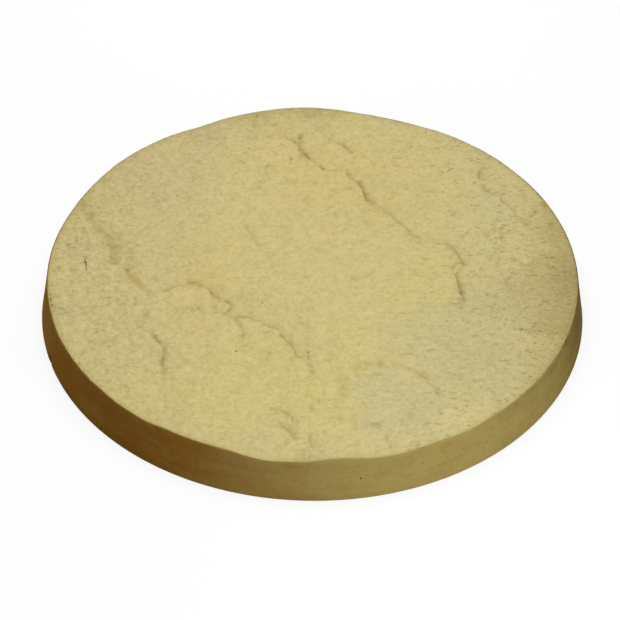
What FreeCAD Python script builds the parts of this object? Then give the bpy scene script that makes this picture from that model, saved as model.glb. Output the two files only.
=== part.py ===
# Round garden stepping stone, cast in one piece in a tapered mould.
# It lies on its flat base with the riven face up. The origin is the centre of the base and +Z is up.
# Lengths are in millimetres. Places on the face are shares of the face's radius, with +Y towards the back.

import FreeCAD, Part
import math
import os
import Sketcher

Vector = FreeCAD.Vector

doc = FreeCAD.newDocument("SteppingStone")

# Driving sizes
driving_sizes = (
    ("base_diameter", 450.0, "across the foot of the rim"),
    ("face_diameter", 439.5, "across the rim at the mean height of the face"),
    ("face_height", 38.8, "mean height of the riven face above the base"),
    ("foot_round", 1.5, "radius of the edge at the foot of the rim"),
    ("swell_height", 2.4, "rise or fall of the face's strongest swell"),
    ("cleft_drop", 2.2, "fall of the face across its deepest cleft"),
    ("cleft_run", 4.5, "width of the slope from the high side of a cleft to the low side"),
    ("scar_reach", 48.0, "width of the scar behind a cleft, which rises back to the face"),
    ("lattice_step", 5.0, "spacing of the points that shape the riven face"),
    ("trim_allowance", 12.0, "height of the blank above the mean face, cut away by the riven face"),
)
sizes = doc.addObject("Spreadsheet::Sheet", "Sizes")
for row, (alias, value, meaning) in enumerate(driving_sizes, start=1):
    sizes.set(f"A{row}", alias)
    sizes.set(f"B{row}", str(value))
    sizes.set(f"C{row}", meaning)
    sizes.setAlias(f"B{row}", alias)
doc.recompute()


def size(alias):
    return float(sizes.get(alias))


face_radius = size("face_diameter") / 2

# Swells of the face: place, rise as a share of swell_height, reach as a share of the face radius.
# Those near the rim give its edge the rise and fall that is seen in outline.
swells = (
    ((0.90, 0.40), 0.42, 0.20),
    ((0.68, 0.72), 0.42, 0.13),
    ((0.30, 0.96), -0.95, 0.15),
    ((-0.06, 1.00), 1.08, 0.14),
    ((-0.29, 0.97), 0.30, 0.08),
    ((-0.46, 0.89), -0.95, 0.08),
    ((-0.73, 0.69), 0.42, 0.13),
    ((-0.93, 0.36), -0.90, 0.17),
    ((-0.43, -0.91), 1.05, 0.16),
    ((-0.15, -1.00), -0.72, 0.08),
    ((0.11, -1.00), 0.90, 0.08),
    ((0.29, -0.96), -0.35, 0.10),
    ((0.59, -0.82), -0.55, 0.09),
    ((-0.30, 0.45), 0.45, 0.30),
    ((0.22, 0.20), 0.40, 0.26),
    ((0.60, -0.20), -0.40, 0.28),
    ((-0.45, -0.42), 0.50, 0.26),
    ((0.20, -0.55), -0.30, 0.25),
    ((-0.85, -0.25), -0.35, 0.20),
)

# Clefts of the face: drop as a share of cleft_drop, then the route. The face is lower on the left of the route.
clefts = {
    "long_cleft": (
        1.0,
        (
            (-0.20, 0.90),
            (-0.11, 0.80),
            (-0.03, 0.70),
            (0.06, 0.63),
            (0.14, 0.60),
            (0.19, 0.50),
            (0.27, 0.36),
            (0.37, 0.25),
            (0.48, 0.19),
            (0.53, 0.14),
            (0.56, 0.07),
            (0.54, 0.00),
            (0.555, -0.11),
            (0.50, -0.14),
        ),
    ),
    "middle_cleft": (
        0.85,
        (
            (-0.66, -0.12),
            (-0.56, -0.09),
            (-0.45, -0.04),
            (-0.38, -0.10),
            (-0.31, -0.16),
            (-0.29, -0.23),
            (-0.20, -0.27),
            (-0.13, -0.32),
            (-0.09, -0.39),
            (-0.04, -0.46),
            (0.01, -0.54),
            (0.01, -0.66),
            (-0.07, -0.79),
        ),
    ),
    "left_cleft": (
        0.75,
        (
            (-0.95, 0.50),
            (-0.84, 0.32),
            (-0.76, 0.18),
            (-0.70, 0.03),
            (-0.64, -0.10),
            (-0.66, -0.25),
            (-0.59, -0.34),
            (-0.555, -0.44),
            (-0.55, -0.56),
        ),
    ),
    "right_cleft": (
        0.60,
        (
            (0.68, 0.67),
            (0.63, 0.62),
            (0.62, 0.57),
            (0.66, 0.51),
            (0.73, 0.43),
            (0.83, 0.32),
        ),
    ),
    "front_cleft": (
        0.50,
        (
            (0.20, -0.43),
            (0.34, -0.48),
            (0.42, -0.55),
            (0.47, -0.65),
            (0.50, -0.76),
        ),
    ),
}
cleft_end_share = 0.16  # part of a route over which its drop dies away, at each end
margin_steps = 2  # lattice steps that the riven face runs past the widest part of the blank


def smooth_step(share):
    share = min(max(share, 0.0), 1.0)
    return share * share * (3 - 2 * share)


# Distance from a point to a route, positive on its left, and how far along the route the nearest point lies.
def place_by_route(x, y, route):
    lengths = [math.dist(a, b) for a, b in zip(route, route[1:])]
    nearest = None
    passed = 0.0
    for (start, end), length in zip(zip(route, route[1:]), lengths):
        along_x, along_y = (end[0] - start[0]) / length, (end[1] - start[1]) / length
        run = min(max((x - start[0]) * along_x + (y - start[1]) * along_y, 0.0), length)
        away_x, away_y = x - start[0] - run * along_x, y - start[1] - run * along_y
        distance = math.hypot(away_x, away_y)
        side = along_x * away_y - along_y * away_x
        if nearest is None or distance < abs(nearest[0]):
            nearest = (math.copysign(distance, side), (passed + run) / sum(lengths))
        passed += length
    return nearest


def swell_rise(x, y):
    rise = 0.0
    for (swell_x, swell_y), share, reach in swells:
        away = math.dist((x, y), (swell_x * face_radius, swell_y * face_radius))
        rise += share * size("swell_height") * math.exp(-((away / (reach * face_radius)) ** 2))
    return rise


def cleft_fall(x, y):
    fall = 0.0
    for share, route in clefts.values():
        route_on_face = [(px * face_radius, py * face_radius) for px, py in route]
        distance, along = place_by_route(x, y, route_on_face)
        if 0 < distance < size("scar_reach"):
            ends = smooth_step(along / cleft_end_share) * smooth_step((1 - along) / cleft_end_share)
            slope = smooth_step(distance / size("cleft_run"))
            scar = (1 - distance / size("scar_reach")) ** 2
            fall += share * size("cleft_drop") * ends * slope * scar
    return fall


# The blank: a turned disc with the mould's taper and a rounded foot, higher than the face
def make_blank():
    body = doc.addObject("PartDesign::Body", "Blank")
    upright = next(f for f in body.Origin.OriginFeatures if f.Role == "XZ_Plane")
    profile = body.newObject("Sketcher::SketchObject", "Profile")
    profile.AttachmentSupport = [(upright, "")]
    profile.MapMode = "FlatFace"

    radius, top_radius = size("base_diameter") / 2, face_radius
    height, face = size("face_height") + size("trim_allowance"), size("face_height")
    base, rim, top, axis = range(4)
    corners = (Vector(0, 0, 0), Vector(radius, 0, 0), Vector(top_radius, height, 0), Vector(0, height, 0))
    for corner, following in zip(corners, corners[1:] + corners[:1]):
        profile.addGeometry(Part.LineSegment(corner, following), False)
    face_line = profile.addGeometry(Part.LineSegment(Vector(0, face, 0), Vector(top_radius, face, 0)), True)

    for line, following in ((base, rim), (rim, top), (top, axis), (axis, base)):
        profile.addConstraint(Sketcher.Constraint("Coincident", line, 2, following, 1))
    profile.addConstraint(Sketcher.Constraint("Coincident", base, 1, -1, 1))
    profile.addConstraint(Sketcher.Constraint("Horizontal", base))
    profile.addConstraint(Sketcher.Constraint("Horizontal", top))
    profile.addConstraint(Sketcher.Constraint("Vertical", axis))
    profile.addConstraint(Sketcher.Constraint("Horizontal", face_line))
    profile.addConstraint(Sketcher.Constraint("PointOnObject", face_line, 1, -2))
    profile.addConstraint(Sketcher.Constraint("PointOnObject", face_line, 2, rim))
    bound = (
        ("base_radius", ("DistanceX", base, 1, base, 2, radius), "Sizes.base_diameter / 2"),
        ("face_radius", ("DistanceX", face_line, 1, face_line, 2, top_radius), "Sizes.face_diameter / 2"),
        ("face_height", ("DistanceY", base, 1, face_line, 1, face), "Sizes.face_height"),
        ("blank_height", ("DistanceY", axis, 2, axis, 1, height), "Sizes.face_height + Sizes.trim_allowance"),
    )
    for name, constraint, expression in bound:
        index = profile.addConstraint(Sketcher.Constraint(*constraint))
        profile.renameConstraint(index, name)
        profile.setExpression(f"Constraints.{name}", expression)

    turned = body.newObject("PartDesign::Revolution", "Turned")
    turned.Profile = profile
    turned.ReferenceAxis = (profile, ["V_Axis"])
    turned.Angle = 360
    doc.recompute()

    widest = max(turned.Shape.Edges, key=lambda edge: edge.BoundBox.XLength + edge.BoundBox.YLength)
    foot = next(n for n, edge in enumerate(turned.Shape.Edges, start=1) if edge.isSame(widest))
    rounded = body.newObject("PartDesign::Fillet", "RoundedFoot")
    rounded.Base = (turned, [f"Edge{foot}"])
    rounded.setExpression("Radius", "Sizes.foot_round")
    body.Tip = rounded
    return body


# What the riven face takes off the blank: a block whose underside is the riven face
def make_riven_block():
    step = size("lattice_step")
    base_radius, height = size("base_diameter") / 2, size("face_height")
    blank_top_radius = base_radius + (face_radius - base_radius) * (height + size("trim_allowance")) / height
    half_count = math.ceil(max(base_radius, blank_top_radius) / step) + margin_steps
    stations = [step * n for n in range(-half_count, half_count + 1)]
    poles = [
        [Vector(x, y, height + swell_rise(x, y) - cleft_fall(x, y)) for y in stations]
        for x in stations
    ]
    degree = 3
    knots = list(range(len(stations) - degree + 1))
    multiples = [degree + 1] + [1] * (len(knots) - 2) + [degree + 1]
    riven = Part.BSplineSurface()
    riven.buildFromPolesMultsKnots(poles, multiples, multiples, knots, knots, False, False, degree, degree)
    block = doc.addObject("Part::Feature", "RivenBlock")
    block_height = 2 * size("trim_allowance")  # well past the top of the blank
    block.Shape = riven.toShape().extrude(Vector(0, 0, block_height))
    return block


blank = make_blank()
riven_block = make_riven_block()
stone = doc.addObject("Part::Cut", "Stone")
stone.Base = blank
stone.Tool = riven_block
stone.Label = "stepping_stone"
doc.recompute()

failed = [item.Label for item in doc.Objects if {"Invalid", "Error"} & set(item.State)]
if failed:
    raise RuntimeError(f"these objects failed: {failed}")

os.makedirs("parts", exist_ok=True)
for piece in (stone,):
    shape = piece.Shape
    if shape.isNull() or not shape.isValid() or len(shape.Solids) != 1:
        raise RuntimeError(f"{piece.Label} is not one valid solid")
    shape.exportStep(f"parts/{piece.Label}.step")
    box = shape.optimalBoundingBox()
    print(
        f"{piece.Label}: {box.XLength:.1f} x {box.YLength:.1f} x {box.ZLength:.1f} mm,"
        f" {shape.Volume / 1000:.0f} cm3, {len(shape.Faces)} faces"
    )
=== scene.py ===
import math

import bpy
import numpy as np
from mathutils import Matrix, Vector, noise


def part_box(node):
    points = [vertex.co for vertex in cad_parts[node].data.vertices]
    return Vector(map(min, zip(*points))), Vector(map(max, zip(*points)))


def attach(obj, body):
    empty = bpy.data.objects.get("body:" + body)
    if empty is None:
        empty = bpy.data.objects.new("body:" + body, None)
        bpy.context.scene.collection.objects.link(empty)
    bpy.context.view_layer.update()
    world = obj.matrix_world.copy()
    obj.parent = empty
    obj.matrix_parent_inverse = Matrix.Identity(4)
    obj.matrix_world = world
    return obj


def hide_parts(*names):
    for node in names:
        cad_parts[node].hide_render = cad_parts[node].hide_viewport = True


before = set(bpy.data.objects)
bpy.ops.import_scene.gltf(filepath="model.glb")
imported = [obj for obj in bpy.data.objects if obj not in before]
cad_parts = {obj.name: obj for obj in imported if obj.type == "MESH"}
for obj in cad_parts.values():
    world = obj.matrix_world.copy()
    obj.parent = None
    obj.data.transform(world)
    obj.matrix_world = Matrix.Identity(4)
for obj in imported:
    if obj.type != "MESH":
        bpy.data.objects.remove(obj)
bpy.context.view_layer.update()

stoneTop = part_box("stepping_stone")[1].z

# Round riven stepping stone. Lengths in metres, origin in the middle of the base, +Y away from the camera.
stone = {
    "baseRadius": 0.225,    # rim at the ground, before its foot is rounded
    "faceRadius": 0.21975,  # rim at the mean height of the face
    "faceHeight": 0.0388,   # mean height of the riven face
    "footRound": 0.0015,
    "arrisRound": 0.0011,   # edge between face and rim, on average
    "arrisWander": 0.0005,  # how much that rounding comes and goes
    "fanSides": 6,
    "fanCuts": (15, 14),  # each triangle of the fan is cut twice
    "outerShare": 0.965,  # beyond this share of the radius the rings of the net lie closer
    "outerCrowd": 0.45,
    "arrisRows": 4,
    "rimRows": 22,
    "footRows": 5,
    "baseRings": (0.97, 0.6, 0.0),
    "rimWave": 0.00018,  # unevenness left by the mould
    "triangles": 190000,
}
stone["draft"] = math.atan((stone["baseRadius"] - stone["faceRadius"]) / stone["faceHeight"])
stone["rings"] = (stone["fanCuts"][0] + 1) * (stone["fanCuts"][1] + 1)
stone["sideRows"] = stone["arrisRows"] + stone["rimRows"] + stone["footRows"]

# Swells of the face: x, y, reach and rise
swells = (
    (0.198, 0.088, 0.044, 0.00101),
    (0.149, 0.158, 0.029, 0.00101),
    (0.066, 0.211, 0.033, -0.00228),
    (-0.013, 0.22, 0.031, 0.00259),
    (-0.064, 0.213, 0.018, 0.00072),
    (-0.101, 0.196, 0.018, -0.00228),
    (-0.16, 0.152, 0.029, 0.00101),
    (-0.204, 0.079, 0.037, -0.00216),
    (-0.094, -0.2, 0.035, 0.00252),
    (-0.033, -0.22, 0.018, -0.00173),
    (0.024, -0.22, 0.018, 0.00216),
    (0.064, -0.211, 0.022, -0.00084),
    (0.13, -0.18, 0.02, -0.00132),
    (-0.066, 0.099, 0.066, 0.00108),
    (0.048, 0.044, 0.057, 0.00096),
    (0.132, -0.044, 0.062, -0.00096),
    (-0.099, -0.092, 0.057, 0.0012),
    (0.044, -0.121, 0.055, -0.00072),
    (-0.187, -0.055, 0.044, -0.00084),
)

# Clefts of the face: drop, reach of the scar behind it, then the route as x, y, strength of the drop
# and strength of the dark line at its foot, which is painted shade and dirt. The face is lower on the left
# of the route.
clefts = {
    "longCleftBack": (0.0012, 0.034, (
        (-0.0497, 0.2092, 0, 0.1), (-0.0418, 0.2026, 0.3, 0.35), (-0.0366, 0.196, 0.4, 0.45),
        (-0.0261, 0.1827, 0.4, 0.4), (-0.02, 0.176, 0.3, 0.35), (-0.0151, 0.1709, 0.6, 1.05),
        (-0.01, 0.16, 0.8, 1.2), (-0.006, 0.1535, 0.8, 1), (-0.002, 0.149, 0.6, 0.4),
        (0.002, 0.144, 0.6, 0.4), (0.007, 0.14, 0.7, 0.8), (0.012, 0.138, 0.4, 0.1),
        (0.0155, 0.13, 0.2, 0.2), (0.017, 0.124, 0, 0),
    )),
    "longCleft": (0.0016, 0.046, (
        (0.024, 0.141, 0, 0), (0.0272, 0.134, 0.5, 0.6), (0.0316, 0.1243, 0.6, 0.6),
        (0.035, 0.1215, 0.6, 0.3), (0.0382, 0.1207, 0.8, 1.15), (0.0413, 0.1105, 1.1, 1.45),
        (0.045, 0.099, 1, 1.25), (0.05, 0.0935, 0.6, 0.6), (0.0565, 0.088, 0.4, 0.45),
        (0.0646, 0.0785, 0.4, 0.42), (0.0726, 0.068, 0.3, 0.42), (0.0785, 0.0595, 0.3, 0.5),
        (0.0857, 0.0518, 0.4, 0.45), (0.094, 0.045, 0.2, 0.05), (0.104, 0.0425, 0.5, 0.4),
        (0.1105, 0.0417, 0.7, 0.7), (0.115, 0.0365, 0.9, 0.7), (0.1187, 0.0325, 0.9, 0.55),
        (0.12, 0.027, 0.8, 0.35), (0.124, 0.0193, 0.7, 0.2), (0.1205, 0.0135, 0.8, 0.15),
        (0.118, 0.0077, 0.8, 0.35), (0.119, -0.0005, 0.9, 0.65), (0.121, -0.0134, 1, 1.1),
        (0.1225, -0.02, 0.9, 0.75), (0.1233, -0.0262, 0.8, 0.6), (0.1187, -0.0299, 0.5, 0.45),
        (0.108, -0.0302, 0.2, 0.18), (0.099, -0.0299, 0, 0),
    )),
    "longCleftBranch": (0.0008, 0.008, (
        (-0.0121, 0.187, 0, 0.2), (-0.0123, 0.181, 0.7, 1.3), (-0.0128, 0.1715, 0.8, 1.2),
        (-0.0108, 0.167, 0.6, 0.35), (-0.0084, 0.1634, 0.8, 0.8), (-0.0066, 0.1554, 0.6, 0.8),
        (-0.0062, 0.153, 0, 0),
    )),
    "backCleft": (0.0009, 0.018, (
        (0.0076, 0.1936, 0, 0), (0.0067, 0.184, 0.3, 0.15), (0.0112, 0.18, 0.5, 0.5),
        (0.0112, 0.1732, 0.6, 0.45), (0.018, 0.1716, 0.5, 0.12), (0.0236, 0.1714, 0.8, 0.6),
        (0.028, 0.166, 1, 0.9), (0.0316, 0.1616, 0.8, 0.85), (0.0335, 0.1595, 0, 0),
    )),
    "backTick": (0.0005, 0.012, (
        (-0.064, 0.133, 0, 0), (-0.05, 0.135, 0.7, 0.2), (-0.042, 0.1367, 1, 0.3),
        (-0.0369, 0.142, 0.9, 0.7), (-0.035, 0.145, 0, 0),
    )),
    "middleCleft": (0.0014, 0.042, (
        (-0.1384, -0.0148, 0, 0.2), (-0.1352, -0.0243, 0.3, 0.7), (-0.128, -0.022, 0.4, 0.15),
        (-0.1194, -0.019, 0.6, 0.45), (-0.111, -0.015, 0.7, 0.5), (-0.1025, -0.0116, 0.8, 0.4),
        (-0.0993, -0.0085, 0.8, 0.35), (-0.092, -0.013, 0.8, 0.4), (-0.0867, -0.0159, 0.9, 0.75),
        (-0.0835, -0.0222, 1, 0.9), (-0.0772, -0.0285, 1, 0.75), (-0.0708, -0.0317, 1, 0.8),
        (-0.0666, -0.037, 0.9, 0.75), (-0.072, -0.043, 0.7, 0.55), (-0.074, -0.0475, 0.6, 0.35),
        (-0.0645, -0.0507, 0.6, 0.5), (-0.0519, -0.0528, 0.7, 0.7), (-0.0434, -0.056, 0.6, 0.6),
        (-0.0392, -0.0591, 0.7, 0.65), (-0.0308, -0.0644, 0.9, 0.65), (-0.0223, -0.075, 1, 0.65),
        (-0.018, -0.082, 1, 0.65), (-0.0149, -0.09, 0.9, 0.55), (-0.011, -0.099, 0.8, 0.5),
        (-0.006, -0.1045, 0.8, 0.45), (-0.002, -0.11, 0.7, 0.5), (0.0002, -0.118, 0.4, 0.4),
        (0.001, -0.124, 0, 0),
    )),
    "middleCleftTwin": (0.0006, 0.006, (
        (-0.088, -0.021, 0, 0), (-0.082, -0.027, 0.6, 0.5), (-0.0772, -0.033, 0.8, 0.5),
        (-0.074, -0.036, 0, 0),
    )),
    "innerLoop": (0.0005, 0.008, (
        (-0.079, -0.031, 0, 0), (-0.0803, -0.0338, 0.5, 0.3), (-0.0793, -0.0412, 0.7, 0.35),
        (-0.075, -0.0454, 0.6, 0.3), (-0.071, -0.048, 0, 0),
    )),
    "middleCleftStep": (0.0008, 0.014, (
        (-0.068, -0.048, 0, 0), (-0.0645, -0.0517, 0.7, 0.35), (-0.0582, -0.0623, 0.8, 0.5),
        (-0.0571, -0.0707, 0.9, 0.75), (-0.0603, -0.0813, 0.6, 0.3), (-0.062, -0.086, 0, 0),
    )),
    "plateCurve": (0.0004, 0.01, (
        (-0.054, -0.08, 0, 0), (-0.0519, -0.0834, 0.7, 0.25), (-0.0392, -0.0897, 0.9, 0.35),
        (-0.035, -0.095, 0.9, 0.4), (-0.038, -0.1, 0.7, 0.3), (-0.0434, -0.1045, 0, 0),
    )),
    "plateTick": (0.0006, 0.008, (
        (-0.0985, -0.0335, 0, 0), (-0.0972, -0.0353, 0.9, 0.55), (-0.0945, -0.039, 1, 0.7),
        (-0.0915, -0.0433, 0.9, 0.55), (-0.0905, -0.046, 0, 0),
    )),
    "plateCleft": (0.0011, 0.022, (
        (-0.1468, -0.031, 0, 0), (-0.148, -0.038, 0.4, 0.35), (-0.1489, -0.0475, 0.5, 0.4),
        (-0.1436, -0.0602, 0.6, 0.4), (-0.1384, -0.0707, 0.7, 0.5), (-0.131, -0.0739, 1, 0.9),
        (-0.1268, -0.0823, 1, 0.85), (-0.1212, -0.088, 0.9, 0.8), (-0.1208, -0.0975, 0.7, 0.7),
        (-0.1238, -0.106, 0.7, 0.75), (-0.1212, -0.115, 0.6, 0.85), (-0.119, -0.122, 0, 0.1),
    )),
    "plateCleftTwin": (0.0007, 0.008, (
        (-0.1384, -0.031, 0, 0), (-0.1378, -0.038, 0.6, 0.35), (-0.1373, -0.0517, 0.8, 0.4),
        (-0.14, -0.059, 0, 0),
    )),
    "plateFoot": (0.0004, 0.01, (
        (-0.116, -0.122, 0, 0), (-0.1135, -0.127, 0.8, 0.25), (-0.111, -0.137, 0.7, 0.15),
        (-0.106, -0.146, 0.9, 0.35), (-0.0983, -0.1593, 0.8, 0.35), (-0.096, -0.165, 0, 0),
    )),
    "leftBank": (0.0009, 0.026, (
        (-0.1985, 0.104, 0, 0), (-0.19, 0.09, 0.6, 0.1), (-0.1862, 0.076, 0.8, 0.12),
        (-0.184, 0.064, 0.8, 0.12), (-0.176, 0.056, 0.9, 0.15), (-0.172, 0.046, 1, 0.12),
        (-0.169, 0.03, 1, 0.12), (-0.168, 0.016, 0.9, 0.12), (-0.158, 0.008, 0.9, 0.25),
        (-0.153, -0.001, 0.8, 0.15), (-0.144, -0.012, 0.6, 0.2), (-0.14, -0.02, 0.3, 0.2),
        (-0.138, -0.026, 0, 0),
    )),
    "rightCleft": (0.001, 0.022, (
        (0.149, 0.145, 0, 0.1), (0.1426, 0.1425, 0.5, 0.55), (0.1405, 0.138, 0.7, 0.4),
        (0.1389, 0.1306, 1, 0.7), (0.14, 0.125, 1, 0.5), (0.1426, 0.1178, 1, 0.7),
        (0.1453, 0.114, 1, 0.85), (0.1508, 0.1067, 0.8, 0.25), (0.1554, 0.1022, 0.8, 0.3),
        (0.1628, 0.092, 0.8, 0.35), (0.17, 0.082, 0.6, 0.12), (0.1785, 0.071, 0.5, 0.4),
        (0.185, 0.064, 0, 0),
    )),
    "rightTick": (0.0006, 0.01, (
        (0.154, 0.064, 0, 0), (0.157, 0.056, 0.8, 0.4), (0.1565, 0.048, 0.9, 0.55),
        (0.1545, 0.0417, 0.9, 0.65), (0.15, 0.036, 0.6, 0.35), (0.1455, 0.033, 0, 0),
    )),
    "eastTick": (0.0005, 0.012, (
        (0.157, 0.002, 0, 0), (0.1585, -0.004, 0.7, 0.3), (0.1625, -0.012, 0.8, 0.35),
        (0.167, -0.015, 0, 0),
    )),
    "frontCleft": (0.0008, 0.02, (
        (0.07, -0.105, 0, 0), (0.0752, -0.1075, 0.6, 0.35), (0.0857, -0.1139, 0.9, 0.55),
        (0.091, -0.119, 1, 0.55), (0.0942, -0.1255, 0.9, 0.35), (0.0995, -0.136, 0.9, 0.42),
        (0.1026, -0.1413, 0.7, 0.4), (0.106, -0.146, 0, 0),
    )),
    "frontEdgeCleft": (0.0014, 0.016, (
        (-0.036, -0.156, 0, 0), (-0.0325, -0.1582, 0.6, 0.55), (-0.025, -0.1625, 0.7, 0.55),
        (-0.0199, -0.1656, 0.9, 0.85), (-0.0165, -0.17, 0.9, 0.9), (-0.0146, -0.174, 0.8, 0.6),
        (-0.0125, -0.179, 0, 0),
    )),
    "frontEdgeLower": (0.0009, 0.014, (
        (-0.028, -0.1745, 0, 0.1), (-0.0241, -0.1783, 0.7, 0.6), (-0.019, -0.1825, 1, 0.7),
        (-0.0146, -0.1888, 0.9, 0.45), (-0.011, -0.196, 0, 0),
    )),
    "frontEdgeTick": (0.0006, 0.01, (
        (-0.004, -0.182, 0, 0), (-0.0019, -0.1867, 0.8, 0.5), (-0.001, -0.195, 0.9, 0.5),
        (0.0002, -0.2036, 0.8, 0.35), (0.0006, -0.208, 0, 0),
    )),
    "frontTick": (0.0005, 0.01, (
        (0.0025, -0.142, 0, 0), (0.0034, -0.1445, 0.8, 0.35), (0.0055, -0.15, 0.9, 0.45),
        (0.0076, -0.155, 0, 0),
    )),
    "innerCleft": (0.0005, 0.016, (
        (-0.058, 0.074, 0, 0.1), (-0.057, 0.064, 0.7, 0.35), (-0.053, 0.052, 0.9, 0.35),
        (-0.049, 0.042, 1, 0.45), (-0.043, 0.032, 0.8, 0.3), (-0.036, 0.024, 0, 0.1),
    )),
    "centreTick": (0.0005, 0.006, (
        (0.038, 0.004, 0, 0), (0.042, 0.002, 0.9, 0.4), (0.046, 0.003, 0.9, 0.4), (0.05, 0.007, 0, 0),
    )),
    "centreScratch": (0.0003, 0.008, (
        (-0.015, -0.05, 0, 0), (-0.012, -0.054, 0.8, 0.25), (-0.006, -0.059, 0.9, 0.3),
        (0.001, -0.065, 0.8, 0.25), (0.003, -0.069, 0, 0),
    )),
    "backLeftTick": (0.0005, 0.014, (
        (-0.1205, 0.128, 0, 0), (-0.119, 0.135, 0.8, 0.2), (-0.1057, 0.1448, 0.9, 0.3),
        (-0.0938, 0.1485, 1, 0.4), (-0.088, 0.15, 0, 0),
    )),
}

# Dark pits and dashes of the face, darkened with dirt and painted shade, some as soft shade along the
# clefts: x, y, half sizes along X and Y, strength
darkSpots = (
    (0.114, 0.0378, 0.0042, 0.0026, 0.45), (0.1187, 0.0325, 0.0028, 0.0038, 0.45),
    (0.1215, 0.0245, 0.0024, 0.0038, 0.4), (0.119, 0.0035, 0.0022, 0.004, 0.4),
    (0.1203, -0.007, 0.0024, 0.005, 0.55), (0.1222, -0.0165, 0.0026, 0.005, 0.65),
    (0.1228, -0.0245, 0.0025, 0.004, 0.45), (0.1165, -0.03, 0.006, 0.0016, 0.35),
    (-0.01, 0.1585, 0.0034, 0.0042, 0.35), (-0.0125, 0.175, 0.0016, 0.007, 0.25),
    (-0.017, -0.18, 0.006, 0.0045, 0.35), (-0.012, -0.188, 0.005, 0.004, 0.3),
    (-0.003, -0.0898, 0.0014, 0.0016, 0.9), (-0.0028, -0.097, 0.0014, 0.003, 0.5),
    (-0.0062, -0.092, 0.001, 0.004, 0.3), (-0.0614, -0.0908, 0.0011, 0.0011, 1.2),
    (-0.0413, -0.0321, 0.0009, 0.0009, 0.8), (-0.02, 0.1518, 0.0012, 0.0014, 0.9),
    (-0.046, 0.113, 0.0016, 0.0018, 0.7), (-0.05, 0.208, 0.0016, 0.0016, 0.8),
    (0.1187, 0.082, 0.0012, 0.0045, 0.6), (0.113, 0.092, 0.0026, 0.0018, 0.5),
    (0.0745, 0.1652, 0.0022, 0.0016, 0.5), (0.0646, 0.1616, 0.002, 0.0014, 0.5),
    (0.1517, 0.0635, 0.0016, 0.005, 0.5), (0.179, 0.07, 0.0028, 0.0013, 0.8),
    (0.127, -0.0515, 0.0018, 0.0026, 0.7), (0.124, -0.048, 0.0014, 0.0014, 0.6),
    (0.1655, -0.06, 0.002, 0.0013, 0.8), (0.171, -0.06, 0.0017, 0.0014, 0.7),
    (0.1505, -0.077, 0.0032, 0.0026, 0.4), (0.0625, -0.135, 0.0042, 0.001, 0.8),
    (0.074, -0.151, 0.0016, 0.0014, 0.7), (0.052, -0.116, 0.0045, 0.0014, 0.6),
    (0.072, -0.092, 0.0038, 0.001, 0.5), (0.0509, -0.174, 0.0038, 0.0028, 0.9),
    (0.0604, -0.19, 0.0015, 0.0055, 0.8), (0.063, -0.2, 0.0014, 0.004, 0.6),
    (0.115, -0.1445, 0.0038, 0.001, 0.6), (-0.115, 0.102, 0.0018, 0.0022, 0.6),
    (-0.1938, 0.0907, 0.0022, 0.0022, 0.6), (-0.1856, 0.079, 0.001, 0.0065, 0.5),
    (-0.171, 0.078, 0.0016, 0.0016, 0.7), (-0.1727, 0.0916, 0.002, 0.0014, 0.5),
    (-0.132, 0.095, 0.0028, 0.0014, 0.5), (-0.069, 0.096, 0.0024, 0.001, 0.5),
    (-0.079, 0.079, 0.0012, 0.0012, 0.7), (-0.1507, 0.074, 0.0016, 0.001, 0.5),
    (-0.21, 0.009, 0.0016, 0.0016, 0.8), (-0.003, -0.132, 0.0014, 0.002, 0.5),
    (-0.1535, 0.007, 0.0018, 0.0034, 0.9), (-0.1602, -0.0311, 0.0011, 0.0034, 0.6),
    (-0.1559, -0.0358, 0.0034, 0.0011, 0.6), (-0.1525, -0.03, 0.001, 0.0028, 0.5),
    (-0.1568, -0.0262, 0.003, 0.001, 0.4), (-0.1455, -0.0281, 0.001, 0.0032, 0.7),
    (-0.1465, -0.0352, 0.0024, 0.0018, 0.6), (-0.1673, -0.0279, 0.0028, 0.0011, 0.7),
    (-0.1666, -0.0341, 0.0026, 0.0011, 0.6), (-0.1743, -0.0184, 0.0017, 0.0012, 0.7),
    (-0.1812, -0.0049, 0.0013, 0.0014, 0.7), (-0.1782, -0.041, 0.0017, 0.0013, 0.6),
    (-0.1592, -0.0666, 0.0025, 0.0013, 0.6), (-0.1693, -0.0096, 0.0015, 0.0012, 0.6),
    (-0.2044, 0.0382, 0.0011, 0.003, 0.7), (-0.2153, -0.0303, 0.0011, 0.0032, 1),
    (-0.216, -0.0247, 0.001, 0.0016, 0.9), (-0.2141, -0.0376, 0.0011, 0.0018, 0.9),
    (-0.2111, 0.0096, 0.0015, 0.0016, 0.6), (-0.2052, -0.0424, 0.0026, 0.001, 0.6),
    (-0.2018, -0.046, 0.0028, 0.001, 0.6), (-0.1966, -0.0508, 0.003, 0.0011, 0.5),
)

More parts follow.
